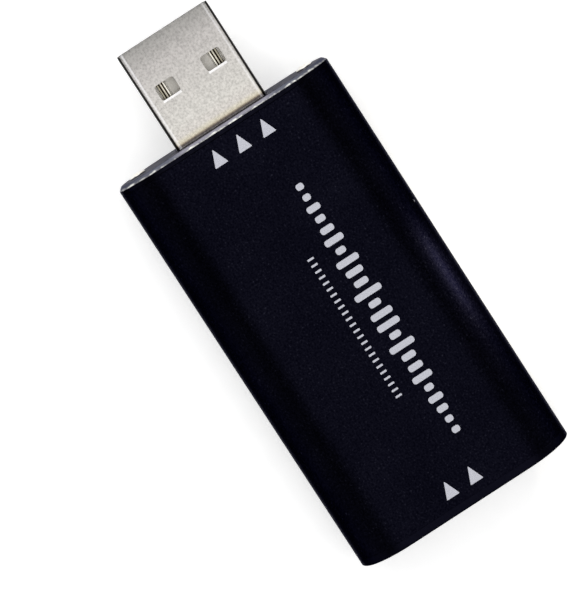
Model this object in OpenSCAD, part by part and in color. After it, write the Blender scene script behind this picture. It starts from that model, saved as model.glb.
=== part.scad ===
// Video capture box: a flat-oval extruded sleeve, closed by two screwed end plates.
// A host plug stands out at the +X end and a video socket opens at the -X end; +Z is up.
// The origin is the centre of the sleeve's flat underside.

/* [Sleeve] */
// Width across the round sides
body_w = 28; // [27:0.5:34]
// Thickness, which is also the diameter of the round sides
body_h = 12; // [11.5:0.25:14]
// Length of the extruded sleeve between the end plates
sleeve_l = 49.7; // [47:0.1:60]
// Wall of the sleeve
wall = 1.2; // [0.9:0.1:1.5]
// Wall round each screw channel
channel_wall = 0.9; // [0.7:0.1:1.1]
// Slit through which a screw channel opens into the sleeve
channel_slit = 0.7; // [0.4:0.1:1]

/* [End plates] */
// Thickness of an end plate
plate_t = 1; // [0.8:0.1:1.6]
// Chamfer round the outer face of the plug's end plate
output_chamfer = 0.45; // [0.2:0.05:0.6]
// Chamfer round the outer face of the socket's end plate
input_chamfer = 0.15; // [0.1:0.05:0.6]
// Gap between a connector and the cut-out that it passes through
cutout_gap = 0.15; // [0.1:0.05:0.3]

/* [Screws] */
// Distance of a screw's axis from the side of the sleeve
screw_inset = 2.75; // [2.6:0.05:3.2]
// Diameter of the shank
screw_d = 1.3; // [1.2:0.1:1.6]
// Length of the shank under the head
screw_l = 6; // [4:0.5:8]
// Gap round the shank in its plate and in its channel
screw_gap = 0.08; // [0.05:0.01:0.15]
// Diameter of the pan head
head_d = 2; // [1.9:0.1:2.6]
// Height of the pan head
head_h = 0.45; // [0.4:0.05:0.7]
// Radius of the head's domed top
head_dome = 1.8; // [1.6:0.1:4]
// Span of the cross recess
recess_span = 1.1; // [0.8:0.1:1.4]
// Width of each slot of the cross recess
recess_w = 0.32; // [0.25:0.01:0.4]
// Depth of the cross recess
recess_depth = 0.3; // [0.2:0.05:0.35]

/* [Circuit board] */
// Thickness of the board
board_t = 1; // [0.8:0.1:1.2]
// Gap between the board's long edges and the sleeve
board_gap = 0.2; // [0.1:0.05:0.4]
// Gap between each end of the board and its end plate
board_end_gap = 0.3; // [0.1:0.05:0.6]
// How far the sleeve's ledges and ribs reach over the edge of the board
rib_reach = 0.7; // [0.4:0.1:1]
// Gap between the board and the ribs above it
rib_gap = 0.1; // [0.05:0.05:0.3]
// How far the connectors' legs stand out below the board
leg_proud = 0.6; // [0.3:0.1:0.8]
// Width of each leg
leg_w = 1.4; // [1:0.1:2]
// Gap round a leg in its slot
leg_gap = 0.15; // [0.1:0.05:0.25]

/* [Host plug] */
// Width of the plug's shell
plug_w = 12; // [11.6:0.1:12.4]
// Height of the plug's shell
plug_h = 4.5; // [4.3:0.1:4.8]
// How far the plug stands out of its end plate
plug_reach = 12.5; // [11.75:0.25:14]
// Length of the shell behind the outer face of the plate
plug_root = 6.25; // [5.5:0.25:7]
// Sheet thickness of the plug's shell
plug_sheet = 0.3; // [0.25:0.05:0.35]
// Outer radius of the shell's corners
plug_r = 0.5; // [0.5:0.05:0.8]
// How far the shell is drawn in at its tip
tip_taper = 0.05; // [0.03:0.01:0.12]
// Length of that drawn-in tip
tip_taper_l = 0.4; // [0.3:0.1:1]
// Width of the seam along the underside of the shell
seam_w = 0.08; // [0.05:0.01:0.15]
// Width of the seam's dovetail lock at its wide end
lock_w = 1.6; // [1.2:0.1:2]
// Width of the lock at its neck
lock_neck = 1; // [0.8:0.1:1.1]
// How far the lock reaches across the seam
lock_reach = 1; // [0.7:0.1:1.3]
// Distance of the lock from the end plate
lock_place = 2.6; // [2:0.1:3.2]
// Size of each latch window across the plug
window_w = 2.5; // [2.2:0.1:2.7]
// Size of each latch window along the plug
window_l = 1.9; // [1.7:0.05:2.3]
// Distance between the centres of a pair of windows
window_pitch = 6.1; // [5.6:0.1:6.6]
// Distance from the tip to the windows
window_tip = 5; // [4.7:0.05:5.4]
// Radius of the windows' corners
window_r = 0.35; // [0.2:0.05:0.5]
// Length of the bevel on the edge of a window that the latch slides off
bevel_l = 0.28; // [0.1:0.02:0.4]
// Depth of that bevel in the sheet
bevel_depth = 0.2; // [0.08:0.02:0.24]
// Width of that bevel across the plug
bevel_w = 2.4; // [2:0.1:2.6]
// Height of the tongue above the shell's floor
tongue_h = 1.9; // [1.6:0.05:2]
// Lead-in chamfer on the tongue's front edge
tongue_chamfer = 0.35; // [0.2:0.05:0.5]
// Distance of the tongue from the tip
tongue_setback = 0.4; // [0.2:0.1:0.8]
// Depth of the hollow above the tongue
cavity_depth = 9.5; // [9:0.25:11]
// Gap between the moulded tongue and the shell
tongue_gap = 0.05; // [0.03:0.01:0.1]
// How far the moulded block stands out behind the shell
plug_block_out = 1; // [0.6:0.1:1.4]
// Width of each plug contact
plug_contact_w = 1; // [0.8:0.05:1.2]
// Thickness of each plug contact
plug_contact_t = 0.2; // [0.15:0.01:0.25]
// How far the contacts stand above the tongue
plug_contact_proud = 0.05; // [0.02:0.01:0.1]
// Depth of the two rolled grooves along each plug contact
rolled_depth = 0.1; // [0.05:0.01:0.13]
// Distance between the rolled grooves
rolled_pitch = 0.36; // [0.3:0.02:0.44]
// Chamfer on the long edges of each plug contact
contact_chamfer = 0.06; // [0.03:0.01:0.08]
// Distance between the two outer contacts
power_pitch = 7; // [6.6:0.1:7.4]
// Distance between the two inner contacts
data_pitch = 2; // [1.8:0.1:2.4]
// Distance of the outer contacts from the tip
power_setback = 1.1; // [0.9:0.1:1.5]
// Distance of the inner contacts from the tip
data_setback = 2.1; // [1.8:0.1:3]
// Gap beside each contact in its groove
groove_gap = 0.12; // [0.06:0.02:0.2]

/* [Video socket] */
// Width of the opening
socket_w = 14; // [13.6:0.1:14.4]
// Height of the opening
socket_h = 4.55; // [4.4:0.05:4.8]
// Slanted cut of the opening's two lower corners
socket_cut = 1.75; // [1.3:0.05:2]
// Corner radius of the opening
socket_r = 0.35; // [0.2:0.05:0.5]
// Depth of the socket's shell
socket_l = 11.25; // [10.5:0.25:12]
// Sheet thickness of the socket's shell
socket_sheet = 0.3; // [0.25:0.05:0.35]
// Width of the shell's four springs
spring_w = 1.7; // [1.3:0.1:2]
// Length of each spring
spring_l = 4.5; // [3.5:0.25:5]
// How far each spring dips into the opening
spring_dip = 0.35; // [0.2:0.05:0.5]
// Length of the spring's lifted free end
spring_lip = 1.2; // [0.8:0.1:1.6]
// Distance of the springs' free ends from the mouth
spring_front = 1.8; // [1.2:0.1:2.5]
// Slot beside each spring
spring_slot = 0.3; // [0.2:0.05:0.4]
// Distance between the two upper springs
spring_pitch_top = 7.4; // [6:0.2:8]
// Distance between the two lower springs
spring_pitch_bottom = 5; // [4:0.2:6]
// Distance of the front legs from the mouth
leg_front = 3.2; // [2.6:0.1:4]
// Distance between the front and back legs
leg_pitch = 5.8; // [5:0.1:6.5]
// Width of the contact blade
blade_w = 11.4; // [10.6:0.1:11.8]
// Thickness of the blade
blade_t = 1.1; // [0.9:0.05:1.3]
// Height of the blade's middle above the middle of the opening
blade_lift = 0.25; // [0:0.05:0.4]
// Lead-in chamfer on the blade's front edges
blade_chamfer = 0.2; // [0.1:0.05:0.3]
// Distance of the blade from the mouth
blade_setback = 1.4; // [1:0.1:2]
// Length of the moulded block behind the blade
block_l = 3.3; // [2.5:0.1:4]
// How far the block stands out behind the shell
block_out = 0.8; // [0.5:0.1:1.2]
// Pitch of the contacts in each row
pin_pitch = 1; // [0.9:0.02:1.04]
// Width of each socket contact
pin_w = 0.35; // [0.25:0.01:0.4]
// Thickness of each socket contact
pin_t = 0.18; // [0.12:0.01:0.2]
// Distance of the contacts from the front of the blade
pin_setback = 0.5; // [0.3:0.1:1]
// Length of each connector contact's foot on the board
foot_l = 1; // [0.7:0.1:1.3]

/* [Components] */
// Least space between neighbouring components
spacing = 0.7; // [0.5:0.05:0.9]
// Clear strip along the board's edge, beside the crystal and the memory chip
edge_margin = 2.3; // [2:0.1:2.6]
// Side of the capture chip
chip_side = 7; // [6.5:0.1:7.4]
// Height of the capture chip's body
chip_h = 1.4; // [1:0.1:1.6]
// Leads on each side of the capture chip
chip_leads = 12; // [8:1:12]
// Pitch of the capture chip's leads
chip_pitch = 0.5; // [0.45:0.01:0.54]
// Width of the capture chip's leads
chip_lead_w = 0.22; // [0.17:0.01:0.27]
// Length of the memory chip
memory_l = 4.9; // [4.6:0.1:5.2]
// Width of the memory chip
memory_w = 3.9; // [3.6:0.1:4.2]
// Height of the memory chip's body
memory_h = 1.45; // [1.2:0.05:1.7]
// Pitch of the memory chip's leads
memory_pitch = 1.27; // [1.1:0.01:1.3]
// Width of the memory chip's and the regulators' leads
wide_lead_w = 0.42; // [0.3:0.01:0.5]
// Thickness of the chips' leads
lead_t = 0.15; // [0.1:0.01:0.2]
// Length of a chip lead's level shoulder
lead_shoulder = 0.4; // [0.3:0.05:0.5]
// Length of a chip lead's foot
lead_foot = 0.6; // [0.4:0.05:0.7]
// Gap between a chip's body and the board
standoff = 0.1; // [0.05:0.01:0.2]
// Radius of the dimple that marks a chip's first lead
dimple_r = 0.35; // [0.2:0.05:0.5]
// Distance of the dimple from the chip's sides
dimple_in = 0.9; // [0.6:0.05:1.2]
// Depth of the dimple
dimple_depth = 0.15; // [0.05:0.05:0.3]
// Length of each regulator
regulator_l = 2.9; // [2.6:0.1:3.1]
// Width of each regulator
regulator_w = 1.6; // [1.4:0.1:1.8]
// Height of each regulator
regulator_h = 1.1; // [0.9:0.05:1.3]
// Pitch of the regulators' leads
regulator_pitch = 0.95; // [0.85:0.05:1]
// Length of the crystal's can
crystal_l = 10.4; // [9.5:0.1:10.8]
// Width of the crystal's can
crystal_w = 3.8; // [3.4:0.1:4.2]
// Height of the crystal's can above its base
crystal_h = 3; // [2.5:0.1:3.5]
// Height of the crystal's base
crystal_base_h = 0.6; // [0.4:0.05:0.8]
// Rim of the base round the can
crystal_rim = 0.4; // [0.2:0.05:0.6]
// Height of the flange at the foot of the can
crystal_flange = 0.3; // [0.2:0.05:0.5]
// Length of each chip capacitor and resistor
passive_l = 1.6; // [1.4:0.05:1.75]
// Width of each chip capacitor and resistor
passive_w = 0.8; // [0.6:0.05:0.9]
// Height of each capacitor
capacitor_h = 0.8; // [0.6:0.05:0.9]
// Space between the capacitors in the rows beside the capture chip
capacitor_space = 0.35; // [0.2:0.05:0.6]
// Height of each resistor
resistor_h = 0.45; // [0.35:0.05:0.55]
// Length of each solder terminal
terminal_l = 0.35; // [0.25:0.05:0.4]
// Length of the ferrite bead
bead_l = 2; // [1.8:0.1:2.2]
// Width of the ferrite bead
bead_w = 1.25; // [1.1:0.05:1.4]
// Height of the ferrite bead
bead_h = 0.9; // [0.7:0.05:1]
// Length of each surge array
surge_l = 2.5; // [2.2:0.1:2.7]
// Width of each surge array
surge_w = 1; // [0.8:0.05:1.2]
// Height of each surge array
surge_h = 0.5; // [0.4:0.05:0.6]

/* [Hidden] */
$fn = 64;
over = 1;

// Sleeve, plates and screws
mid_z = body_h / 2;
half_l = sleeve_l / 2;
face_x = half_l + plate_t;
screw_y = body_w / 2 - screw_inset;
bore_d = screw_d + 2 * screw_gap;
channel_d = bore_d + 2 * channel_wall;

// Board: the socket stands on it, and the sleeve's round inner walls give its width
board_top = mid_z - socket_h / 2 - socket_sheet;
board_bottom = board_top - board_t;
inner_r = body_h / 2 - wall;
board_half_w = (body_w - body_h) / 2 + sqrt(inner_r ^ 2 - (mid_z - board_bottom) ^ 2) - board_gap;
board_half_l = half_l - board_end_gap;
leg_foot = board_bottom - leg_proud;

// Plug
plug_tip = face_x + plug_reach;
plug_back = face_x - plug_root;
plug_block_back = plug_back - plug_block_out;
plug_leg_x = plug_back + leg_w;
cavity_back = plug_tip - cavity_depth;
tongue_top = mid_z - plug_h / 2 + plug_sheet + tongue_h;
plug_contact_z = tongue_top + plug_contact_proud;
plug_feet_x = plug_block_back - foot_l;
// Each plug contact: its place across the plug and its distance from the tip
plug_lines = [
    [-power_pitch / 2, power_setback], [-data_pitch / 2, data_setback],
    [data_pitch / 2, data_setback], [power_pitch / 2, power_setback]
];

// Socket
socket_front = -face_x;
block_front = socket_front + socket_l - block_l;
block_back = socket_front + socket_l + block_out;
blade_front = socket_front + blade_setback;
blade_z = mid_z + blade_lift;
pin_front = blade_front + pin_setback;
socket_feet_x = block_back + foot_l;
upper_pins = 10;
lower_pins = 9;
leg_places = [socket_front + leg_front, socket_front + leg_front + leg_pitch];

// Components: those by the socket are placed from its feet, those by the plug from its feet
lead_span = lead_shoulder + lead_foot;
surge_x = socket_feet_x + spacing + surge_w / 2;
surge_count = 3;
surge_pitch = surge_l + spacing;
resistor_x = surge_x + surge_w / 2 + spacing + passive_l / 2;
resistor_count = 6;
passive_pitch = passive_w + spacing;
chip_x = resistor_x + passive_l / 2 + spacing + lead_span + chip_side / 2;
chip_row_y = chip_side / 2 + lead_span + spacing + passive_w / 2;
capacitors_by_chip = 4;
capacitor_pitch = passive_l + capacitor_space;
crystal_x = plug_feet_x - spacing - crystal_rim - crystal_l / 2;
crystal_y = board_half_w - edge_margin - crystal_rim - crystal_w / 2;
memory_x = plug_feet_x - spacing - memory_l / 2;
memory_y = edge_margin + lead_span + memory_w / 2 - board_half_w;
memory_leads = 4;
regulator_in_leads = 3;
regulator_out_leads = 2;
regulator_x = memory_x - memory_l / 2 - spacing - lead_span - regulator_w / 2;
regulator_y = [memory_y - regulator_l / 2 - spacing / 2, memory_y + regulator_l / 2 + spacing / 2];
bead_x = plug_feet_x - spacing - bead_l / 2;
bead_y = data_pitch / 2;
capacitors_by_plug = 3;
// Centres of the capacitors, a row on each side of the chip and a row beside the bead
capacitor_places = concat(
    [for (side = [-1, 1], i = [0 : capacitors_by_chip - 1])
        [chip_x + (i - (capacitors_by_chip - 1) / 2) * capacitor_pitch, side * chip_row_y]],
    [for (i = [0 : capacitors_by_plug - 1])
        [bead_x - bead_l / 2 - (i + 1) * spacing - (i + 0.5) * passive_l, bead_y]]
);
resistor_places = [
    for (i = [0 : resistor_count - 1]) [resistor_x, (i - (resistor_count - 1) / 2) * passive_pitch]
];

// A flat shape drawn across the part, run along X from x0 to x1
module along_x(x0, x1) {
    translate([x0, 0, 0]) rotate([90, 0, 90]) linear_extrude(x1 - x0) children();
}

// A flat shape drawn in the side view, run along Y over width w about y = 0
module along_y(w) {
    rotate([90, 0, 0]) linear_extrude(w, center = true) children();
}

// A flat oval with full-round sides
module stadium(w, h) {
    square([w - h, h], center = true);
    for (side = [-1, 1]) translate([side * (w - h) / 2, 0]) circle(d = h);
}

// A rectangle with corners of radius r
module rounded_rect(w, h, r) {
    square([w, h - 2 * r], center = true);
    square([w - 2 * r, h], center = true);
    for (x = [-1, 1], y = [-1, 1]) translate([x * (w / 2 - r), y * (h / 2 - r)]) circle(r);
}

// A convex outline given by its corner centres, anticlockwise, grown by radius r
module rounded_outline(centres, r) {
    polygon(centres);
    for (i = [0 : len(centres) - 1]) {
        start = centres[i];
        run = centres[(i + 1) % len(centres)] - start;
        translate(start) circle(r);
        translate(start) rotate(atan2(run.y, run.x)) translate([0, -r]) square([norm(run), r]);
    }
}

// Side view of a formed strip: it runs level from x_tip, drops at x_bend and ends in a foot
function strip_profile(x_tip, x_bend, z_run, z_foot, t, foot) =
    let (s = x_bend > x_tip ? 1 : -1)
    [
        [x_tip, z_run], [x_tip, z_run - t], [x_bend, z_run - t], [x_bend, z_foot],
        [x_bend + s * foot, z_foot], [x_bend + s * foot, z_foot + t],
        [x_bend + s * t, z_foot + t], [x_bend + s * t, z_run]
    ];

// The sleeve's cross-section: flat-oval tube, board ledges, board ribs and open screw channels
module sleeve_section() {
    rib_y = board_half_w - rib_reach;
    rib_w = body_w / 2 - rib_y;
    rib_bottom = board_top + rib_gap - mid_z;
    difference() {
        union() {
            difference() {
                stadium(body_w, body_h);
                stadium(body_w - 2 * wall, body_h - 2 * wall);
            }
            intersection() {
                stadium(body_w, body_h);
                for (side = [0, 1]) mirror([side, 0]) {
                    translate([rib_y, -mid_z]) square([rib_w, board_bottom]);
                    translate([rib_y, rib_bottom]) square([rib_w, -bore_d / 2 - rib_bottom]);
                    translate([screw_y, 0]) circle(d = channel_d);
                }
            }
        }
        for (side = [0, 1]) mirror([side, 0]) {
            translate([screw_y, 0]) circle(d = bore_d);
            translate([screw_y - channel_d, -channel_slit / 2]) square([channel_d, channel_slit]);
        }
    }
}

module sleeve() {
    color("#0d0d14") translate([0, 0, mid_z]) along_x(-half_l, half_l) sleeve_section();
}

// An end plate's blank at the +X end: the sleeve's outline with a chamfered outer edge
module plate_blank(chamfer) {
    chamfer_x = face_x - chamfer;
    flat_w = body_w - body_h;
    for (side = [-1, 1]) translate([half_l, side * flat_w / 2, mid_z]) rotate([0, 90, 0])
        rotate_extrude() polygon([
            [0, 0], [body_h / 2, 0], [body_h / 2, plate_t - chamfer],
            [body_h / 2 - chamfer, plate_t], [0, plate_t]
        ]);
    along_y(flat_w) polygon([
        [half_l, 0], [chamfer_x, 0], [face_x, chamfer],
        [face_x, body_h - chamfer], [chamfer_x, body_h], [half_l, body_h]
    ]);
}

// The blank with its two screw holes
module drilled_plate(chamfer) {
    difference() {
        plate_blank(chamfer);
        for (side = [-1, 1]) translate([half_l - over, side * screw_y, mid_z]) rotate([0, 90, 0])
            cylinder(h = plate_t + 2 * over, d = bore_d);
    }
}

module output_plate() {
    color("#4a4d55") difference() {
        drilled_plate(output_chamfer);
        along_x(half_l - over, face_x + over) plug_outline(cutout_gap);
    }
}

module input_plate() {
    color("#15151c") difference() {
        mirror([1, 0, 0]) drilled_plate(input_chamfer);
        along_x(-face_x - over, over - half_l) socket_outline(socket_sheet + cutout_gap);
    }
}

// A pan-head screw along +X: its head sits on the plane x = 0
module pan_screw() {
    rotate([0, 90, 0]) {
        translate([0, 0, -screw_l]) cylinder(h = screw_l, d = screw_d);
        difference() {
            intersection() {
                cylinder(h = head_h, d = head_d);
                translate([0, 0, head_h - head_dome]) sphere(head_dome);
            }
            for (turn = [0, 90]) rotate(turn) translate([0, 0, head_h])
                cube([recess_span, recess_w, 2 * recess_depth], center = true);
        }
    }
}

module screw_pair() {
    for (side = [-1, 1]) translate([face_x, side * screw_y, mid_z]) pan_screw();
}

module output_plate_screws() {
    color("#d8d8d6") screw_pair();
}

module input_plate_screws() {
    color("#d8d8d6") mirror([1, 0, 0]) screw_pair();
}

// A slot through the board for a connector's leg
module leg_slot(x, y, sheet) {
    translate([x, y, board_bottom + board_t / 2])
        cube([leg_w + 2 * leg_gap, sheet + 2 * leg_gap, board_t + 2 * over], center = true);
}

module circuit_board() {
    color("#1f5a36") difference() {
        translate([-board_half_l, -board_half_w, board_bottom])
            cube([2 * board_half_l, 2 * board_half_w, board_t]);
        for (side = [-1, 1]) {
            leg_slot(plug_leg_x, side * (plug_w - plug_sheet) / 2, plug_sheet);
            for (x = leg_places) leg_slot(x, side * (socket_w + socket_sheet) / 2, socket_sheet);
        }
    }
}

// The plug's outer outline, grown by g
module plug_outline(g) {
    translate([0, mid_z]) rounded_rect(plug_w + 2 * g, plug_h + 2 * g, plug_r + g);
}

// Wedge that draws in one side of the plug's tip, on a face at height h above the plug's axis
module tip_wedge(h, w) {
    along_y(w) polygon([
        [plug_tip - tip_taper_l, h],
        [plug_tip + tip_taper_l, h - 2 * tip_taper],
        [plug_tip + tip_taper_l, h + tip_taper]
    ]);
}

// Cuts a latch window through the shell, with a bevel on its root side in both faces
module window_cutter() {
    linear_extrude(plug_h + over, center = true) rounded_rect(window_l, window_w, window_r);
    for (face = [0, 1]) mirror([0, 0, face]) translate([-window_l / 2, 0, plug_h / 2])
        along_y(bevel_w) polygon([
            [-bevel_l, 0], [0, -bevel_depth], [window_r, -bevel_depth],
            [window_r, over], [-bevel_l, over]
        ]);
}

// The line along which the shell's sheet meets on the underside, with its dovetail lock
module plug_seam() {
    lock_x = face_x + lock_place;
    line = [
        [plug_back - over, 0], [lock_x - lock_neck / 2, 0], [lock_x - lock_w / 2, lock_reach],
        [lock_x + lock_w / 2, lock_reach], [lock_x + lock_neck / 2, 0], [plug_tip + over, 0]
    ];
    for (i = [0 : len(line) - 2]) {
        run = line[i + 1] - line[i];
        translate(line[i]) rotate(atan2(run.y, run.x)) translate([-seam_w / 2, -seam_w / 2])
            square([norm(run) + seam_w, seam_w]);
    }
}

module plug_shell() {
    window_x = plug_tip - window_tip - window_l / 2;
    leg_top = mid_z - plug_h / 2 + plug_r;
    color("#c9c5be") {
        difference() {
            along_x(plug_back, plug_tip) plug_outline(0);
            along_x(plug_back - over, plug_tip + over) plug_outline(-plug_sheet);
            for (side = [-1, 1]) translate([window_x, side * window_pitch / 2, mid_z])
                window_cutter();
            translate([0, 0, mid_z - plug_h / 2 - over]) linear_extrude(plug_sheet + 2 * over)
                plug_seam();
            for (turn = [0, 180]) translate([0, 0, mid_z]) rotate([turn, 0, 0])
                tip_wedge(plug_h / 2, plug_w + over);
            for (turn = [90, 270]) translate([0, 0, mid_z]) rotate([turn, 0, 0])
                tip_wedge(plug_w / 2, plug_h + over);
        }
        for (side = [-1, 1])
            translate([plug_leg_x - leg_w / 2, side * (plug_w - plug_sheet) / 2 - plug_sheet / 2, leg_foot])
                cube([leg_w, plug_sheet, leg_top - leg_foot]);
    }
}

// The four plain contact strips, which run through the block to feet on the board
module plug_strips() {
    for (line = plug_lines) translate([0, line[0], 0]) along_y(plug_contact_w)
        polygon(strip_profile(
            plug_tip - line[1], plug_block_back, plug_contact_z, board_top, plug_contact_t, foot_l
        ));
}

// A square bar along the contacts' free length, set on edge to cut a groove of the given depth
module contact_cutter(y, depth) {
    free_l = cavity_depth + over;
    translate([cavity_back + free_l / 2, y, plug_contact_z]) rotate([45, 0, 0])
        cube([free_l, sqrt(2) * depth, sqrt(2) * depth], center = true);
}

module plug_tongue() {
    block_foot_w = plug_w - 4 * plug_r;
    groove_floor = plug_contact_z - plug_contact_t;
    color("#e6dfcf") difference() {
        union() {
            along_x(plug_block_back, cavity_back) plug_outline(-plug_sheet - tongue_gap);
            along_x(cavity_back, plug_tip - tongue_setback) intersection() {
                plug_outline(-plug_sheet - tongue_gap);
                translate([-plug_w / 2, 0]) square([plug_w, tongue_top]);
            }
            translate([plug_block_back, -block_foot_w / 2, board_top])
                cube([plug_block_out - tongue_gap, block_foot_w, mid_z - board_top]);
        }
        plug_strips();
        translate([plug_tip - tongue_setback, 0, tongue_top]) rotate([0, 45, 0])
            cube([sqrt(2) * tongue_chamfer, plug_w, sqrt(2) * tongue_chamfer], center = true);
        for (line = plug_lines)
            translate([cavity_back, line[0] - plug_contact_w / 2 - groove_gap, groove_floor])
                cube([plug_tip - line[1] + groove_gap - cavity_back,
                    plug_contact_w + 2 * groove_gap, over]);
    }
}

module plug_contacts() {
    color("#caa64a") difference() {
        plug_strips();
        for (line = plug_lines, side = [-1, 1]) {
            contact_cutter(line[0] + side * rolled_pitch / 2, rolled_depth);
            contact_cutter(line[0] + side * plug_contact_w / 2, contact_chamfer);
        }
    }
}

// The socket's D-shaped opening, grown by g: its lower corners are cut at 45 degrees
module socket_outline(g) {
    w = socket_w / 2 - socket_r;
    h = socket_h / 2 - socket_r;
    translate([0, mid_z]) rounded_outline([
        [w, h], [-w, h], [-w, socket_cut - h], [socket_cut - w, -h],
        [w - socket_cut, -h], [w, socket_cut - h]
    ], socket_r + g);
}

// A spring of the upper wall: bent down from its root at the back, with a lifted free end
module socket_spring() {
    root_x = socket_front + spring_front + spring_l;
    tip_x = root_x - spring_l + spring_slot;
    dip_x = tip_x + spring_lip;
    along_y(spring_w) polygon([
        [root_x + socket_sheet, 0], [root_x, 0], [dip_x, -spring_dip], [tip_x, -spring_dip / 2],
        [tip_x, socket_sheet - spring_dip / 2], [dip_x, socket_sheet - spring_dip],
        [root_x, socket_sheet], [root_x + socket_sheet, socket_sheet]
    ]);
}

module socket_spring_window() {
    translate([socket_front + spring_front, -spring_w / 2 - spring_slot, -over / 2])
        cube([spring_l, spring_w + 2 * spring_slot, over]);
}

// Places something at the two springs of the upper wall and the two of the lower wall
module at_springs() {
    for (side = [-1, 1]) {
        translate([0, side * spring_pitch_top / 2, mid_z + socket_h / 2]) children();
        translate([0, side * spring_pitch_bottom / 2, mid_z - socket_h / 2])
            mirror([0, 0, 1]) children();
    }
}

module socket_shell() {
    color("#cfcfcb") {
        difference() {
            along_x(socket_front, socket_front + socket_l) socket_outline(socket_sheet);
            along_x(socket_front - over, socket_front + socket_l + over) socket_outline(0);
            at_springs() socket_spring_window();
        }
        at_springs() socket_spring();
        for (side = [0, 1], x = leg_places) mirror([0, side, 0])
            translate([x - leg_w / 2, socket_w / 2, leg_foot])
                cube([leg_w, socket_sheet, mid_z - leg_foot]);
    }
}

// A row of socket contacts whose level run has its upper face at height z
module pin_row(count, z) {
    for (i = [0 : count - 1]) translate([0, (i - (count - 1) / 2) * pin_pitch, 0]) along_y(pin_w)
        polygon(strip_profile(pin_front, block_back, z, board_top, pin_t, foot_l));
}

module upper_row() {
    pin_row(upper_pins, blade_z + blade_t / 2);
}

module lower_row() {
    pin_row(lower_pins, blade_z - blade_t / 2 + pin_t);
}

module socket_insulator() {
    foot_w = socket_w - 2 * socket_cut;
    color("#1b1b1d") difference() {
        union() {
            along_x(block_front, socket_front + socket_l) socket_outline(-tongue_gap);
            translate([0, 0, blade_z]) along_y(blade_w) polygon([
                [block_front, blade_t / 2], [blade_front + blade_chamfer, blade_t / 2],
                [blade_front, blade_t / 2 - blade_chamfer], [blade_front, blade_chamfer - blade_t / 2],
                [blade_front + blade_chamfer, -blade_t / 2], [block_front, -blade_t / 2]
            ]);
            translate([socket_front + socket_l, -foot_w / 2, board_top])
                cube([block_out, foot_w, blade_z + blade_t - board_top]);
        }
        upper_row();
        lower_row();
    }
}

module socket_upper_contacts() {
    color("#d2ae55") upper_row();
}

module socket_lower_contacts() {
    color("#d2ae55") lower_row();
}

// A row of formed leads that stand out from a chip's side at x = 0
module lead_row(count, pitch, w, z_run) {
    for (i = [0 : count - 1]) translate([0, (i - (count - 1) / 2) * pitch, 0]) along_y(w)
        polygon(strip_profile(0, lead_shoulder, z_run, 0, lead_t, lead_foot));
}

// A moulded chip body with a dimple beside its first lead
module chip_body(l, w, h) {
    translate([0, 0, standoff]) difference() {
        translate([-l / 2, -w / 2, 0]) cube([l, w, h]);
        translate([dimple_in - l / 2, dimple_in - w / 2, h - dimple_depth])
            cylinder(h = over, r = dimple_r);
    }
}

module capture_chip() {
    color("#202023") translate([chip_x, 0, board_top]) chip_body(chip_side, chip_side, chip_h);
}

module capture_chip_leads() {
    color("#bfc1c2") translate([chip_x, 0, board_top]) for (turn = [0 : 90 : 270]) rotate(turn)
        translate([chip_side / 2, 0, 0]) lead_row(chip_leads, chip_pitch, chip_lead_w, chip_h / 2);
}

module memory_chip() {
    color("#202023") translate([memory_x, memory_y, board_top]) chip_body(memory_l, memory_w, memory_h);
}

module memory_chip_leads() {
    color("#bfc1c2") translate([memory_x, memory_y, board_top]) for (turn = [90, 270]) rotate(turn)
        translate([memory_w / 2, 0, 0])
            lead_row(memory_leads, memory_pitch, wide_lead_w, memory_h / 2);
}

module regulators() {
    color("#202023") for (y = regulator_y) translate([regulator_x, y, board_top + standoff])
        translate([-regulator_w / 2, -regulator_l / 2, 0]) cube([regulator_w, regulator_l, regulator_h]);
}

module regulator_leads() {
    color("#bfc1c2") for (y = regulator_y) translate([regulator_x, y, board_top]) {
        translate([regulator_w / 2, 0, 0])
            lead_row(regulator_out_leads, 2 * regulator_pitch, wide_lead_w, regulator_h / 2);
        rotate(180) translate([regulator_w / 2, 0, 0])
            lead_row(regulator_in_leads, regulator_pitch, wide_lead_w, regulator_h / 2);
    }
}

module crystal_base() {
    color("#2b2b2e") translate([crystal_x, crystal_y, board_top]) linear_extrude(crystal_base_h)
        stadium(crystal_l + 2 * crystal_rim, crystal_w + 2 * crystal_rim);
}

module crystal_can() {
    color("#d0d1d2") translate([crystal_x, crystal_y, board_top + crystal_base_h]) {
        linear_extrude(crystal_flange) stadium(crystal_l + crystal_rim, crystal_w + crystal_rim);
        linear_extrude(crystal_h) stadium(crystal_l, crystal_w);
    }
}

module surge_arrays() {
    color("#26262a") for (i = [0 : surge_count - 1]) {
        y = (i - (surge_count - 1) / 2) * surge_pitch;
        translate([surge_x - surge_w / 2, y - surge_l / 2, board_top])
            cube([surge_w, surge_l, surge_h]);
    }
}

// The body of a chip component that lies along X, between its terminals
module passive_body(place, l, w, h) {
    translate([place.x - l / 2 + terminal_l, place.y - w / 2, board_top])
        cube([l - 2 * terminal_l, w, h]);
}

// The two solder terminals of such a component
module passive_terminals(place, l, w, h) {
    for (x = [place.x - l / 2, place.x + l / 2 - terminal_l])
        translate([x, place.y - w / 2, board_top]) cube([terminal_l, w, h]);
}

module ceramic_capacitors() {
    color("#b48a5c") for (place = capacitor_places)
        passive_body(place, passive_l, passive_w, capacitor_h);
}

module capacitor_terminals() {
    color("#c8c9ca") for (place = capacitor_places)
        passive_terminals(place, passive_l, passive_w, capacitor_h);
}

module chip_resistors() {
    color("#1d1d20") for (place = resistor_places)
        passive_body(place, passive_l, passive_w, resistor_h);
}

module resistor_terminals() {
    color("#c8c9ca") for (place = resistor_places)
        passive_terminals(place, passive_l, passive_w, resistor_h);
}

module ferrite_bead() {
    color("#3b3a3c") passive_body([bead_x, bead_y], bead_l, bead_w, bead_h);
}

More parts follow.
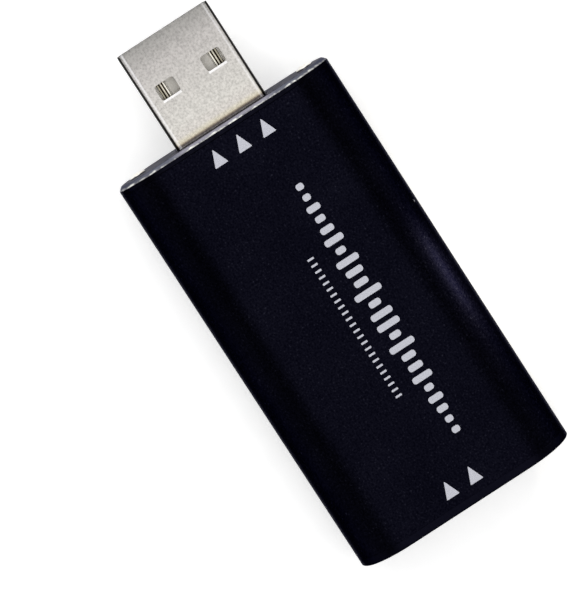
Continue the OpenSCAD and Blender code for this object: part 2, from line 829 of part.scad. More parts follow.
module bead_terminals() {
    color("#c8c9ca") passive_terminals([bead_x, bead_y], bead_l, bead_w, bead_h);
}

sleeve();
output_plate();
input_plate();
output_plate_screws();
input_plate_screws();
circuit_board();
plug_shell();
plug_tongue();
plug_contacts();
socket_shell();
socket_insulator();
socket_upper_contacts();
socket_lower_contacts();
capture_chip();
capture_chip_leads();
memory_chip();
memory_chip_leads();
regulators();
regulator_leads();
crystal_base();
crystal_can();
surge_arrays();
ceramic_capacitors();
capacitor_terminals();
chip_resistors();
resistor_terminals();
ferrite_bead();
bead_terminals();
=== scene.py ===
import math

import bmesh
import bpy
from mathutils import Matrix, Vector


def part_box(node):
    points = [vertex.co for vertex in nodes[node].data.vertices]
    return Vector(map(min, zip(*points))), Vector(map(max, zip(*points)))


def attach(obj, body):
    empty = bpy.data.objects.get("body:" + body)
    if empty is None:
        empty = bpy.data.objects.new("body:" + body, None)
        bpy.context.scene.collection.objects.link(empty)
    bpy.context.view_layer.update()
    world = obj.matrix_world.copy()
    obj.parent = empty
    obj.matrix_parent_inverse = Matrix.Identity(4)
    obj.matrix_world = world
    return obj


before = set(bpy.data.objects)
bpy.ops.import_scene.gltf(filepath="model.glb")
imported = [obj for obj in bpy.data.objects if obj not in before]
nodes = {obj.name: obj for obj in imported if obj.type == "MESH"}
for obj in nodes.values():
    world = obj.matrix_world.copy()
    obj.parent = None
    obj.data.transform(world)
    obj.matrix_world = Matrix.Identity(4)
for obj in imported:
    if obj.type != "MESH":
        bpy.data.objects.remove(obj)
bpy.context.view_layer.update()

# Circuit board: glass-epoxy laminate, routed to slide in between the sleeve's ledges and ribs.
# Green solder mask lies over the copper on both faces, and the routed edges show bare tan laminate.
MM = 0.001
track_spacing, track_height = 0.9, 0.02
track_edge, track_blur = 0.3, 0.05
weave_pitch = 0.5


def linear(hex_colour):
    """An sRGB hex colour as the linear colour that a shader takes."""
    channels = [int(hex_colour[i : i + 2], 16) / 255 for i in (1, 3, 5)]
    return [c / 12.92 if c <= 0.04045 else ((c + 0.055) / 1.055) ** 2.4 for c in channels] + [1]


def add(tree, kind, inputs, stops=(), **settings):
    """Adds a node: an input is a value or another node's output, and a ramp has stops."""
    node = tree.nodes.new("ShaderNode" + kind)
    for name, value in settings.items():
        setattr(node, name, value)
    for i, (place, colour) in enumerate(stops):
        ramp = node.color_ramp.elements
        stop = ramp[i] if i < len(ramp) else ramp.new(place)
        stop.position = place
        stop.color = linear(colour)
    for socket, value in inputs.items():
        if isinstance(value, bpy.types.NodeSocket):
            tree.links.new(value, node.inputs[socket])
        else:
            node.inputs[socket].default_value = value
    return node


def new_material(name):
    """An empty material: the material, its tree and the place of a point on the piece."""
    material = bpy.data.materials.new(name)
    material.use_nodes = True
    tree = material.node_tree
    tree.nodes.clear()
    return material, tree, add(tree, "TexCoord", {}).outputs["Object"]


def dress(material, *names):
    """Gives CAD nodes their finish."""
    for name in names:
        nodes[name].material_slots[0].material = material


laminate, tree, place = new_material("Glass-epoxy laminate under solder mask")
# Copper shows through the glossy mask as a lighter green, in blocks and tracks
copper = add(
    tree, "TexVoronoi", {"Vector": place, "Scale": 1 / (track_spacing * MM)}, distance="CHEBYCHEV"
)
mask = add(
    tree,
    "ValToRGB",
    {"Fac": copper.outputs["Distance"]},
    stops=[(track_edge, "#1f6a3c"), (track_edge + track_blur, "#12452a")],
)
weave = add(tree, "TexNoise", {"Vector": place, "Scale": 1 / (weave_pitch * MM), "Detail": 2.0})
edge = add(
    tree, "ValToRGB", {"Fac": weave.outputs["Fac"]}, stops=[(0.35, "#8f7b48"), (0.65, "#b7a268")]
)
normal = add(tree, "NewGeometry", {}).outputs["Normal"]
facing = add(tree, "SeparateXYZ", {"Vector": normal})
level = add(tree, "Math", {0: facing.outputs["Z"]}, operation="ABSOLUTE")
# A colour Mix takes its two colours at inputs 6 and 7, and gives the result at output 2
colour = add(
    tree,
    "Mix",
    {"Factor": level.outputs[0], 6: edge.outputs["Color"], 7: mask.outputs["Color"]},
    data_type="RGBA",
)
relief = add(
    tree,
    "Bump",
    {"Height": copper.outputs["Distance"], "Distance": track_height * MM, "Strength": 0.6},
)
shader = add(
    tree,
    "BsdfPrincipled",
    {"Base Color": colour.outputs[2], "Roughness": 0.38, "Normal": relief.outputs["Normal"]},
)
add(tree, "OutputMaterial", {"Surface": shader.outputs["BSDF"]})
dress(laminate, "circuit_board")


# Chips, regulators and surge arrays: silica-filled epoxy, transfer-moulded round the lead frame.
# The mould leaves a fine matt skin; the bodies stand on leads that are soldered to the board.
epoxy_grain = 0.12


def grained(name, dark, light, grain, roughness, relief, finish=None):
    """A material whose grain, in millimetres, shifts its colour, gloss and height a little."""
    material, tree, place = new_material(name)
    noise = add(tree, "TexNoise", {"Vector": place, "Scale": 1 / (grain * MM), "Detail": 3.0})
    fleck = noise.outputs["Fac"]
    tint = add(tree, "ValToRGB", {"Fac": fleck}, stops=[(0.35, dark), (0.65, light)])
    smooth, rough = roughness
    gloss = add(
        tree,
        "MapRange",
        {"Value": fleck, "From Min": 0.3, "From Max": 0.7, "To Min": smooth, "To Max": rough},
    )
    bump = add(tree, "Bump", {"Height": fleck, "Distance": relief * MM, "Strength": 0.7})
    shader = add(
        tree,
        "BsdfPrincipled",
        {
            "Base Color": tint.outputs["Color"],
            "Roughness": gloss.outputs["Result"],
            "Normal": bump.outputs["Normal"],
            **(finish or {}),
        },
    )
    add(tree, "OutputMaterial", {"Surface": shader.outputs["BSDF"]})
    return material


# Near black and dull; the grain of silica is drawn coarser than it is, so that it shows
epoxy = grained("Moulded black epoxy", "#18181a", "#26262a", epoxy_grain, (0.5, 0.68), 0.01)
dress(epoxy, "capture_chip", "memory_chip", "regulators", "surge_arrays")

# Leads and solder terminals: tin over copper alloy, formed into gull wings or dipped on the ends.
# Tin is a soft grey-white metal with cloudy patches where the solder has wetted it.
tin_patch = 0.25
METAL = {"Metallic": 1.0}
tin = grained("Tin plate", "#a9abab", "#cfd1d0", tin_patch, (0.25, 0.45), 0.006, METAL)
dress(
    tin,
    "capture_chip_leads",
    "memory_chip_leads",
    "regulator_leads",
    "capacitor_terminals",
    "resistor_terminals",
    "bead_terminals",
)

# Crystal: a drawn nickel-silver can, welded by its flange and set on a moulded insulating base.
# The can has a satin sheen from the drawing; the base is dull and nearly black.
# The can's fine marks are shown coarser than they are.
draw_grain = 0.1
can_metal = grained(
    "Drawn nickel silver", "#b6b5ae", "#d2d1ca", draw_grain, (0.24, 0.36), 0.004, METAL
)
dress(can_metal, "crystal_can")
base_plastic = grained(
    "Moulded base plastic", "#252528", "#303034", epoxy_grain, (0.45, 0.6), 0.008
)
dress(base_plastic, "crystal_base")

# Chip capacitors, resistors and the ferrite bead: fired ceramics between soldered terminals.
# The capacitors are tan and dull, the resistors' glaze black and glossy, the bead grey and dull.
# Their grain is too fine to see and is drawn as coarse as the epoxy's.
titanate = grained(
    "Tan titanate ceramic", "#9a744c", "#bd9468", epoxy_grain, (0.45, 0.6), 0.006
)
dress(titanate, "ceramic_capacitors")
glaze = grained("Dark glazed ceramic", "#17171a", "#232327", epoxy_grain, (0.2, 0.35), 0.004)
dress(glaze, "chip_resistors")
ferrite = grained("Sintered ferrite", "#2d2c2e", "#434244", epoxy_grain, (0.6, 0.75), 0.01)
dress(ferrite, "ferrite_bead")

# Video socket: a shell of nickel-plated steel sheet, folded into a D with four springs cut from it.
# A black moulded block and blade inside it carry nineteen gold-plated contacts in two rows.
sheet_grain = 0.2
sheet_edge = 0.04


def soften(width, *names):
    """Breaks the sharp edges of CAD nodes by a width in millimetres, with live modifiers."""
    for name in names:
        piece = nodes[name]
        weld = piece.modifiers.new("Join the faces", "WELD")
        weld.merge_threshold = 0.001 * MM
        flats = piece.modifiers.new("Whole flat faces", "DECIMATE")
        flats.decimate_type = "DISSOLVE"
        flats.angle_limit = math.radians(0.5)
        bevel = piece.modifiers.new("Broken edges", "BEVEL")
        bevel.width = width * MM
        bevel.segments = 2
        bevel.limit_method = "ANGLE"
        bevel.angle_limit = math.radians(30)
        shade = piece.modifiers.new("Even shading", "WEIGHTED_NORMAL")
        shade.weight = 100


# A satin grey-white metal; the real grain of the sheet is finer and is drawn to show
socket_steel = grained(
    "Nickel-plated steel sheet", "#aeadaa", "#c9c8c4", sheet_grain, (0.26, 0.38), 0.004, METAL
)
dress(socket_steel, "socket_shell")
soften(sheet_edge, "socket_shell")
# Black with a soft moulded sheen
black_block = grained(
    "Black moulded nylon", "#131315", "#1e1e21", epoxy_grain, (0.4, 0.55), 0.008
)
dress(black_block, "socket_insulator")
soften(sheet_edge, "socket_insulator")
# A thin, pale yellow flash with a clear gloss
gold = grained(
    "Gold flash on bronze", "#c79f45", "#e0bd66", sheet_grain, (0.2, 0.32), 0.003, METAL
)
dress(gold, "socket_upper_contacts", "socket_lower_contacts")

# Host plug: a shell of nickel-plated steel sheet, folded round and locked by a dovetail underneath.
# Inside, a pale moulded tongue carries four strips with rolled grooves and feet on the board.
shell_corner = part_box("plug_shell")[1]
plug_tip, plug_side = shell_corner.x, shell_corner.y
plug_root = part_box("output_plate")[1].x
strip_half = 0.5 * MM
strip_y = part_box("plug_contacts")[1].y - strip_half
sheet_mottle, mottle_depth, flash_depth = 0.26, 0.009, 0.003
square, bent = 0.985, 0.93

plug_steel, tree, place = new_material("Nickel-plated steel, matt rolled")
# Root to tip: painted shade along the plate, then brightest, then darker towards the tip as a
# painted fall-off of the light
along = add(tree, "SeparateXYZ", {"Vector": place})
reach = add(
    tree, "MapRange", {"Value": along.outputs["X"], "From Min": plug_root, "From Max": plug_tip}
)
plating_and_painted_shade = add(
    tree,
    "ValToRGB",
    {"Fac": reach.outputs["Result"]},
    stops=[
        (0.0, "#9a9792"),
        (0.012, "#6e6564"),
        (0.021, "#7a716a"),
        (0.03, "#aca08c"),
        (0.038, "#d4cab6"),
        (0.05, "#dad3c0"),
        (0.09, "#cfcac4"),
        (0.2, "#cdcac4"),
        (0.75, "#bab6b3"),
        (1.0, "#979592"),
    ],
)
# The rolled mottle is finer on the real sheet and is drawn as coarse as it needs to show
mottle = add(tree, "TexNoise", {"Vector": place, "Scale": 1 / (sheet_mottle * MM), "Detail": 3.0})
fleck = mottle.outputs["Fac"]
shade = add(tree, "ValToRGB", {"Fac": fleck}, stops=[(0.33, "#d6d6d6"), (0.67, "#ffffff")])
colour = add(
    tree,
    "Mix",
    {"Factor": 1.0, 6: plating_and_painted_shade.outputs["Color"], 7: shade.outputs["Color"]},
    data_type="RGBA",
    blend_type="MULTIPLY",
)
# Painted shade: the long folds are darkened over their round
normal = add(tree, "NewGeometry", {}).outputs["Normal"]
lean = add(tree, "VectorMath", {0: normal}, operation="ABSOLUTE")
lean = add(tree, "SeparateXYZ", {"Vector": lean.outputs["Vector"]})
painted_fold_shade = add(
    tree,
    "ValToRGB",
    {"Fac": lean.outputs["Y"]},
    stops=[
        (0.04, "#efefef"),
        (0.14, "#dcdcdc"),
        (0.36, "#2c2b2b"),
        (0.96, "#2c2b2b"),
        (0.99, "#efefef"),
    ],
)
colour = add(
    tree,
    "Mix",
    {"Factor": 1.0, 6: colour.outputs[2], 7: painted_fold_shade.outputs["Color"]},
    data_type="RGBA",
    blend_type="MULTIPLY",
)
# Painted highlights: a bright line beside each long fold, and bright bevels at the windows
# The line's stops are shares of the plug's width, the bevel's of the lean towards the tip
across = add(
    tree, "MapRange", {"Value": along.outputs["Y"], "From Min": -plug_side, "From Max": plug_side}
)
painted_fold_highlight = add(
    tree,
    "ValToRGB",
    {"Fac": across.outputs["Result"]},
    stops=[
        (0.038, "#000000"),
        (0.047, "#808080"),
        (0.054, "#808080"),
        (0.062, "#000000"),
        (0.938, "#000000"),
        (0.946, "#929292"),
        (0.957, "#929292"),
        (0.965, "#000000"),
    ],
)
bevel = add(
    tree,
    "ValToRGB",
    {"Fac": lean.outputs["X"]},
    stops=[(0.3, "#000000"), (0.45, "#969696"), (0.85, "#969696"), (0.95, "#000000")],
)
painted_highlights = add(
    tree, "Math", {0: painted_fold_highlight.outputs["Color"], 1: bevel.outputs["Color"]}, operation="MAXIMUM"
)
colour = add(
    tree,
    "Mix",
    {"Factor": painted_highlights.outputs[0], 6: colour.outputs[2], 7: linear("#f6f6fa")},
    data_type="RGBA",
)
# The flat sheet is matt; the folds and pressed bevels between the flats are glossier
sideways = add(tree, "Math", {0: lean.outputs["X"], 1: lean.outputs["Y"]}, operation="MAXIMUM")
flatness = add(tree, "Math", {0: sideways.outputs[0], 1: lean.outputs["Z"]}, operation="MAXIMUM")
matt = add(
    tree,
    "MapRange",
    {"Value": fleck, "From Min": 0.3, "From Max": 0.7, "To Min": 0.25, "To Max": 0.31},
)
gloss = add(
    tree,
    "MapRange",
    {
        "Value": flatness.outputs[0],
        "From Min": bent,
        "From Max": square,
        "To Min": 0.18,
        "To Max": matt.outputs["Result"],
    },
)
relief = add(tree, "Bump", {"Height": fleck, "Distance": mottle_depth * MM, "Strength": 0.6})
shader = add(
    tree,
    "BsdfPrincipled",
    {
        "Base Color": colour.outputs[2],
        "Metallic": 1.0,
        "Roughness": gloss.outputs["Result"],
        "Normal": relief.outputs["Normal"],
    },
)
add(tree, "OutputMaterial", {"Surface": shader.outputs["BSDF"]})
dress(plug_steel, "plug_shell")
soften(sheet_edge, "plug_shell")

# Pale cream with the wet gloss of a polished mould
pale_plastic = grained(
    "Pale moulded polyester",
    "#f0e9dc",
    "#f8f3e8",
    epoxy_grain,
    (0.22, 0.3),
    0.005,
    {"Specular IOR Level": 1.0},
)
dress(pale_plastic, "plug_tongue")
soften(sheet_edge, "plug_tongue")

strip_metal, tree, place = new_material("Pale gold flash")
# A thin flash: nearly the colour of the nickel under it
wear = add(tree, "TexNoise", {"Vector": place, "Scale": 1 / (sheet_grain * MM), "Detail": 3.0})
fleck = wear.outputs["Fac"]
flash = add(tree, "ValToRGB", {"Fac": fleck}, stops=[(0.35, "#bcb8ac"), (0.65, "#d6d2c7")])
# Painted shade: the outer strips are darker on their outer half, where the window's edge shades
# them
across = add(tree, "SeparateXYZ", {"Vector": place})
across = add(tree, "Math", {0: across.outputs["Y"]}, operation="ABSOLUTE")
strip_across = add(
    tree,
    "MapRange",
    {
        "Value": across.outputs[0],
        "From Min": strip_y - strip_half,
        "From Max": strip_y + strip_half,
    },
)
painted_edge_shade = add(
    tree,
    "ValToRGB",
    {"Fac": strip_across.outputs["Result"]},
    stops=[
        (0.3, "#ffffff"),
        (0.5, "#dedbd4"),
        (0.68, "#b8b4aa"),
        (0.95, "#b8b4aa"),
        (1.0, "#ffffff"),
    ],
)
colour = add(
    tree,
    "Mix",
    {"Factor": 1.0, 6: flash.outputs["Color"], 7: painted_edge_shade.outputs["Color"]},
    data_type="RGBA",
    blend_type="MULTIPLY",
)
# Painted shade: the faces of the rolled grooves that lean sideways are darker
normal = add(tree, "NewGeometry", {}).outputs["Normal"]
lean = add(tree, "SeparateXYZ", {"Vector": normal})
lean = add(tree, "Math", {0: lean.outputs["Y"]}, operation="ABSOLUTE")
painted_groove_shade = add(tree, "ValToRGB", {"Fac": lean.outputs[0]}, stops=[(0.15, "#ffffff"), (0.5, "#8a8478")])
colour = add(
    tree,
    "Mix",
    {"Factor": 1.0, 6: colour.outputs[2], 7: painted_groove_shade.outputs["Color"]},
    data_type="RGBA",
    blend_type="MULTIPLY",
)
relief = add(tree, "Bump", {"Height": fleck, "Distance": flash_depth * MM, "Strength": 0.7})
shader = add(
    tree,
    "BsdfPrincipled",
    {
        "Base Color": colour.outputs[2],
        "Metallic": 1.0,
        "Roughness": 0.27,
        "Normal": relief.outputs["Normal"],
    },
)
add(tree, "OutputMaterial", {"Surface": shader.outputs["BSDF"]})
dress(strip_metal, "plug_contacts")

# Sleeve: one length of extruded aluminium, blasted and anodised black, open at both ends.
# The film is a deep blue-black with a fine grain and little gloss.
blast_grain, blast_depth = 0.23, 0.006
cloud = 7.0
sleeve_edge = 0.08
nick, nick_r = Vector((6.55, -13.56, 8.26)) * MM, 0.17 * MM

anodised, tree, place = new_material("Black anodised aluminium, blasted")
# The blast grain, with a few lighter specks, is finer on the real sleeve and is drawn to show
grain = add(tree, "TexNoise", {"Vector": place, "Scale": 1 / (blast_grain * MM), "Detail": 4.0})
fleck = grain.outputs["Fac"]
tint = add(
    tree,
    "ValToRGB",
    {"Fac": fleck},
    stops=[(0.34, "#05050d"), (0.64, "#10101a"), (0.8, "#2c2c37")],
)
# The dye has taken unevenly, in faint clouds
clouds = add(tree, "TexNoise", {"Vector": place, "Scale": 1 / (cloud * MM), "Detail": 2.0})
depth = add(
    tree, "ValToRGB", {"Fac": clouds.outputs["Fac"]}, stops=[(0.3, "#d8d8e0"), (0.7, "#ffffff")]
)
colour = add(
    tree,
    "Mix",
    {"Factor": 1.0, 6: tint.outputs["Color"], 7: depth.outputs["Color"]},
    data_type="RGBA",
    blend_type="MULTIPLY",
)
gloss = add(
    tree,
    "MapRange",
    {"Value": fleck, "From Min": 0.3, "From Max": 0.7, "To Min": 0.36, "To Max": 0.44},
)
relief = add(tree, "Bump", {"Height": fleck, "Distance": blast_depth * MM, "Strength": 0.6})
# One nick on the round side goes through to the grey metal
off = add(tree, "VectorMath", {0: place, 1: nick}, operation="DISTANCE")
hit = add(
    tree,
    "MapRange",
    {"Value": off.outputs["Value"], "From Min": nick_r, "From Max": 0.6 * nick_r},
)
colour = add(
    tree,
    "Mix",
    {"Factor": hit.outputs["Result"], 6: colour.outputs[2], 7: linear("#8c8c90")},
    data_type="RGBA",
)
# Light reaches the metal through the dyed film and comes back dark, also at a low angle
FILM = {"Metallic": 1.0, "Specular Tint": linear("#9c9ca6")}
shader = add(
    tree,
    "BsdfPrincipled",
    {
        "Base Color": colour.outputs[2],
        "Roughness": gloss.outputs["Result"],
        "Normal": relief.outputs["Normal"],
        **FILM,
    },
)
add(tree, "OutputMaterial", {"Surface": shader.outputs["BSDF"]})
dress(anodised, "sleeve")
soften(sleeve_edge, "sleeve")

# End plates: aluminium blanks, anodised black and held by two screws each.
# The chamfer of the plug's plate is cut after anodising, to bare metal, with painted glints along
# it.
# That plate's face is painted greyer than the rest, a painted reflection seen at a low angle.
chamfer, chamfer_start, face_skin = 0.45, 0.02, 0.01
glint, chatter_depth = 1.0, 0.04
dull_depth, dull_blur = (0.36, 0.24), 0.05
screw_shade_from, screw_shade_to = 5.5, 7.0
plate_edge, rim = 0.1, 0.05
plate_face = plug_root

# The same dyed film as the sleeve's, on a smoother face
plate_black = grained(
    "Black anodised plate", "#0a0a13", "#0e0e18", blast_grain, (0.36, 0.44), 0.006, FILM
)
dress(plate_black, "input_plate")
soften(rim, "input_plate")

cut_plate, tree, place = new_material("Black anodised plate with a bare cut edge")
along = add(tree, "SeparateXYZ", {"Vector": place})
chatter = add(tree, "TexNoise", {"Vector": place, "Scale": 1 / (glint * MM), "Detail": 4.0})
fleck = chatter.outputs["Fac"]
# The cut starts sharply at the rim with painted glints, and turns to a painted lilac-grey
# reflection further out
cut_from = plate_face - (chamfer - chamfer_start) * MM
cut_to = plate_face - face_skin * MM
cut = add(tree, "Math", {0: along.outputs["X"], 1: cut_from}, operation="GREATER_THAN")
behind = add(tree, "Math", {0: along.outputs["X"], 1: cut_to}, operation="LESS_THAN")
bare = add(tree, "Math", {0: cut.outputs[0], 1: behind.outputs[0]}, operation="MULTIPLY")
ragged = add(
    tree,
    "MapRange",
    {
        "Value": fleck,
        "From Min": 0.35,
        "From Max": 0.65,
        "To Min": plate_face - dull_depth[0] * MM,
        "To Max": plate_face - dull_depth[1] * MM,
    },
)
outward = add(
    tree,
    "Math",
    {0: along.outputs["X"], 1: ragged.outputs["Result"]},
    operation="SUBTRACT",
)
dulled = add(
    tree,
    "MapRange",
    {"Value": outward.outputs[0], "From Min": -dull_blur * MM, "From Max": dull_blur * MM},
)
painted_glints = add(tree, "ValToRGB", {"Fac": fleck}, stops=[(0.45, "#65656a"), (0.66, "#d4d4ce")])
# Painted shade: towards the screws the grey is darker
across = add(tree, "Math", {0: along.outputs["Y"]}, operation="ABSOLUTE")
side = add(
    tree,
    "MapRange",
    {"Value": across.outputs[0], "From Min": screw_shade_from * MM, "From Max": screw_shade_to * MM},
)
painted_lilac_reflection = add(
    tree, "ValToRGB", {"Fac": side.outputs["Result"]}, stops=[(0.0, "#82808a"), (1.0, "#585a64")]
)
metal = add(
    tree,
    "Mix",
    {"Factor": dulled.outputs["Result"], 6: painted_glints.outputs["Color"], 7: painted_lilac_reflection.outputs["Color"]},
    data_type="RGBA",
)
# Painted reflection: the face is painted greyer than the film elsewhere
grain = add(tree, "TexNoise", {"Vector": place, "Scale": 1 / (blast_grain * MM), "Detail": 4.0})
painted_face_grey = add(
    tree, "ValToRGB", {"Fac": grain.outputs["Fac"]}, stops=[(0.32, "#26262f"), (0.68, "#32323c")]
)
film = add(tree, "ValToRGB", {"Fac": fleck}, stops=[(0.3, "#08080f"), (0.7, "#0e0e17")])
face = add(
    tree,
    "Mix",
    {"Factor": behind.outputs[0], 6: painted_face_grey.outputs["Color"], 7: film.outputs["Color"]},
    data_type="RGBA",
)
colour = add(
    tree,
    "Mix",
    {"Factor": bare.outputs[0], 6: face.outputs[2], 7: metal.outputs[2]},
    data_type="RGBA",
)
gloss = add(
    tree,
    "MapRange",
    {"Value": fleck, "From Min": 0.3, "From Max": 0.7, "To Min": 0.44, "To Max": 0.3},
)
relief = add(tree, "Bump", {"Height": fleck, "Distance": chatter_depth * MM, "Strength": 0.5})
shader = add(
    tree,
    "BsdfPrincipled",
    {
        "Base Color": colour.outputs[2],
        "Roughness": gloss.outputs["Result"],
        "Normal": relief.outputs["Normal"],
        **FILM,
    },
)
add(tree, "OutputMaterial", {"Surface": shader.outputs["BSDF"]})
dress(cut_plate, "output_plate")
soften(plate_edge, "output_plate")

# Screws: pan heads of nickel-plated steel with a cross recess, two to each plate.
# They cut their own thread in the sleeve's open channels.
screw_edge, screw_grain = 0.04, 0.5
# Bright white plating with a clear gloss
screw_metal = grained(
    "Nickel-plated screw steel", "#e2dfd8", "#f2f0ea", screw_grain, (0.2, 0.27), 0.004, METAL
)
dress(screw_metal, "output_plate_screws", "input_plate_screws")
soften(screw_edge, "output_plate_screws", "input_plate_screws")

# Printed marks: one coat of off-white ink, screened on the sleeve's top and baked.
# Plain marks only: a row of level bars, a fine scale, and arrowheads for the signal's way.
ink_film, ink_grain = 0.012, 0.1
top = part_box("sleeve")[1].z
bars, bar_pitch, bar_w, bar_round = 24, 1.42, 0.78, 0.3
bar_low, bar_span = 0.8, 2.7
bar_row = (-1.1, -3.4)
ticks, tick_pitch, tick_w, tick_h, tick_round = 24, 0.8, 0.24, 0.8, 0.06
tick_row = (-1.5, 0.0)
arrow_r, arrow_stretch, arrow_squeeze, arrow_pitch, arrow_round = 1.2, 1.15, 0.82, 3.2, 0.14
arrows_out, arrows_in = (22.7, -0.6), (-23.1, -0.6)


def round_corners(mesh, corners, radius):
    """Rounds the upright edges between some corners."""
    upright = {
        e
        for v in corners
        for e in v.link_edges
        if abs(e.verts[0].co.z - e.verts[1].co.z) > ink_film * MM
    }
    bmesh.ops.bevel(
        mesh,
        geom=list(upright),
        offset=radius * MM,
        offset_type="OFFSET",
        affect="EDGES",
        segments=4,
        profile=0.5,
        material=-1,
    )


def ink_bar(mesh, x, y, along, across, rounding):
    """A flat bar of ink with rounded corners, its sides in millimetres."""
    spot = Matrix.Translation((x * MM, y * MM, top))
    size = Matrix.Diagonal((along * MM, across * MM, 2 * ink_film * MM, 1))
    made = bmesh.ops.create_cube(mesh, size=1, matrix=spot @ size)
    round_corners(mesh, made["verts"], rounding)


def ink_arrow(mesh, x, y):
    """A flat, slim arrowhead of ink that points at the plug."""
    spot = Matrix.Translation((x * MM, y * MM, top))
    slim = Matrix.Diagonal((arrow_stretch, arrow_squeeze, 1, 1))
    turn = Matrix.Rotation(math.radians(-90), 4, "Z")
    made = bmesh.ops.create_cone(
        mesh,
        cap_ends=True,
        segments=3,
        radius1=arrow_r * MM,
        radius2=arrow_r * MM,
        depth=2 * ink_film * MM,
        matrix=spot @ slim @ turn,
    )
    round_corners(mesh, made["verts"], arrow_round)


def new_piece(name, mesh, material):
    """Turns a finished mesh into an object of one material."""
    data = bpy.data.meshes.new(name)
    mesh.to_mesh(data)
    mesh.free()
    piece = bpy.data.objects.new(name, data)
    bpy.context.scene.collection.objects.link(piece)
    piece.data.materials.append(material)
    return piece


# A dull, slightly blue white that covers the black film
ink = grained("Screened off-white ink", "#c3c4d0", "#d8d9e2", ink_grain, (0.5, 0.65), 0.004)

# The bars swell towards the middle of the row and vary from one to the next
mesh = bmesh.new()
for i in range(bars):
    swell = math.sin(math.pi * (i + 0.5) / bars) * (0.6 + 0.4 * math.cos(2.4 * i))
    x = bar_row[0] + (i - (bars - 1) / 2) * bar_pitch
    ink_bar(mesh, x, bar_row[1], bar_w, bar_low + bar_span * swell, bar_round)
piece = new_piece("level_bars", mesh, ink)
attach(piece, "root")

mesh = bmesh.new()
for i in range(ticks):
    x = tick_row[0] + (i - (ticks - 1) / 2) * tick_pitch
    ink_bar(mesh, x, tick_row[1], tick_w, tick_h, tick_round)
piece = new_piece("fine_scale", mesh, ink)
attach(piece, "root")

for name, row, count in (("output_arrows", arrows_out, 3), ("input_arrows", arrows_in, 2)):
    mesh = bmesh.new()
    for i in range(count):
        ink_arrow(mesh, row[0], row[1] + (i - (count - 1) / 2) * arrow_pitch)
    piece = new_piece(name, mesh, ink)
    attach(piece, "root")

# Studio: a white card floor under a pale dome, with one soft key light above.
# Two black felt flags hang beside the part, outside the picture, and keep its round sides dark.
# A low soft light faces the plug, and a small warm one makes the streak on one round side.
scene = bpy.context.scene
scene.view_settings.view_transform = "Standard"
floor_half, floor_lift, card_fibre = 8, 0.42, 2
flag_away, flag_middle, flag_half_l, flag_low, flag_h = 100, 5, 60, 70, 105
felt_nap = 1
dome_strength = 0.85

floor_white, tree, place = new_material("White card")
fibre = add(tree, "TexNoise", {"Vector": place, "Scale": 1 / (card_fibre * MM), "Detail": 3.0})
card = add(
    tree, "ValToRGB", {"Fac": fibre.outputs["Fac"]}, stops=[(0.3, "#f3f3f3"), (0.7, "#f7f7f7")]
)
lit = add(tree, "BsdfDiffuse", {"Color": card.outputs["Color"]})
# Where it is seen, straight or in metal, the card is lifted to white and keeps the part's shadow
rays = add(tree, "LightPath", {})
seen = add(
    tree,
    "Math",
    {0: rays.outputs["Is Camera Ray"], 1: rays.outputs["Is Glossy Ray"]},
    operation="MAXIMUM",
)
shown = add(
    tree, "Math", {0: seen.outputs[0], 1: rays.outputs["Is Transmission Ray"]}, operation="MAXIMUM"
)
lift = add(tree, "Math", {0: shown.outputs[0], 1: floor_lift}, operation="MULTIPLY")
glow = add(tree, "Emission", {"Strength": lift.outputs[0]})
both = add(tree, "AddShader", {0: lit.outputs[0], 1: glow.outputs[0]})
add(tree, "OutputMaterial", {"Surface": both.outputs[0]})

mesh = bmesh.new()
bmesh.ops.create_grid(mesh, x_segments=1, y_segments=1, size=floor_half)
floor = new_piece("floor", mesh, floor_white)

flag_black, tree, place = new_material("Black felt")
felt = add(tree, "TexNoise", {"Vector": place, "Scale": 1 / (felt_nap * MM)})
nap = add(
    tree, "ValToRGB", {"Fac": felt.outputs["Fac"]}, stops=[(0.3, "#050505"), (0.7, "#0c0c0c")]
)
shader = add(
    tree,
    "BsdfPrincipled",
    {"Base Color": nap.outputs["Color"], "Roughness": 0.9, "Specular IOR Level": 0.1},
)
add(tree, "OutputMaterial", {"Surface": shader.outputs["BSDF"]})
for side in (-1, 1):
    spot = Vector((flag_middle, side * flag_away, flag_low + flag_h / 2)) * MM
    upright = Matrix.Rotation(math.radians(90), 4, "X")
    size = Matrix.Diagonal((flag_half_l * MM, flag_h / 2 * MM, 1, 1))
    mesh = bmesh.new()
    bmesh.ops.create_grid(
        mesh,
        x_segments=1,
        y_segments=1,
        size=1,
        matrix=Matrix.Translation(spot) @ upright @ size,
    )
    flag = new_piece("flag", mesh, flag_black)
    flag.visible_camera = False

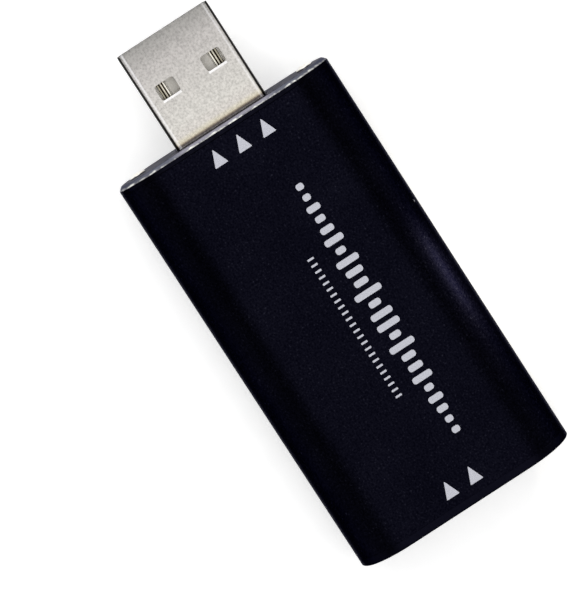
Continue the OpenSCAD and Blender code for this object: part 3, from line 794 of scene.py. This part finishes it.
dome = bpy.data.worlds.new("Pale dome")
dome.use_nodes = True
tree = dome.node_tree
tree.nodes.clear()
way = add(tree, "TexCoord", {}).outputs["Generated"]
height = add(tree, "SeparateXYZ", {"Vector": way})
glowing = add(
    tree,
    "ValToRGB",
    {"Fac": height.outputs["Z"]},
    stops=[(0.0, "#e0e0e0"), (0.5, "#e6e6e6"), (1.0, "#d8d8d8")],
)
sky = add(tree, "Background", {"Color": glowing.outputs["Color"], "Strength": dome_strength})
add(tree, "OutputWorld", {"Surface": sky.outputs[0]})
scene.world = dome


def soft_light(name, where, aim, width, depth, radiance, tint="#ffffff"):
    """An area light of a given radiance, its place and sides in millimetres."""
    lamp = bpy.data.lights.new(name, "AREA")
    lamp.shape = "RECTANGLE"
    lamp.size = width * MM
    lamp.size_y = depth * MM
    lamp.energy = radiance * math.pi * lamp.size * lamp.size_y
    lamp.color = linear(tint)[:3]
    light = bpy.data.objects.new(name, lamp)
    light.location = Vector(where) * MM
    light.rotation_mode = "QUATERNION"
    light.rotation_quaternion = (Vector(aim) - Vector(where)).to_track_quat("-Z", "Y")
    light.visible_camera = False
    scene.collection.objects.link(light)


soft_light("key", (30, 0, 620), (0, 0, 6), 620, 620, 1.05)
soft_light("front", (165, 0, 55), (26, 0, 10), 220, 100, 1.2)
soft_light("side_glow", (-4.5, -32, 11), (-4, -12, 9), 8, 6, 22.0, "#fff8e6")

# Camera: a long lens 0.4 m above the part, which looks down on its printed face.
# It leans a little towards the plug's end, so the edge of that end plate shows.
lens_focal_px, photo_long_side, sensor = 3500, 601, 36
view_from = Vector((44.956, 4.432, 403.488)) * MM
view_aim = Vector((4.806, 4.983, 6.0)) * MM
up_heading = math.radians(-32.81)
back = (view_from - view_aim).normalized()
right = Vector((math.cos(up_heading), math.sin(up_heading), 0)).cross(back).normalized()
camera = bpy.data.objects.new("camera", bpy.data.cameras.new("camera"))
camera.data.sensor_width = sensor
camera.data.lens = lens_focal_px / photo_long_side * sensor
camera.data.clip_start = 0.01
turn = Matrix((right, back.cross(right), back)).transposed().to_4x4()
camera.matrix_world = Matrix.Translation(view_from) @ turn
scene.collection.objects.link(camera)
scene.camera = camera
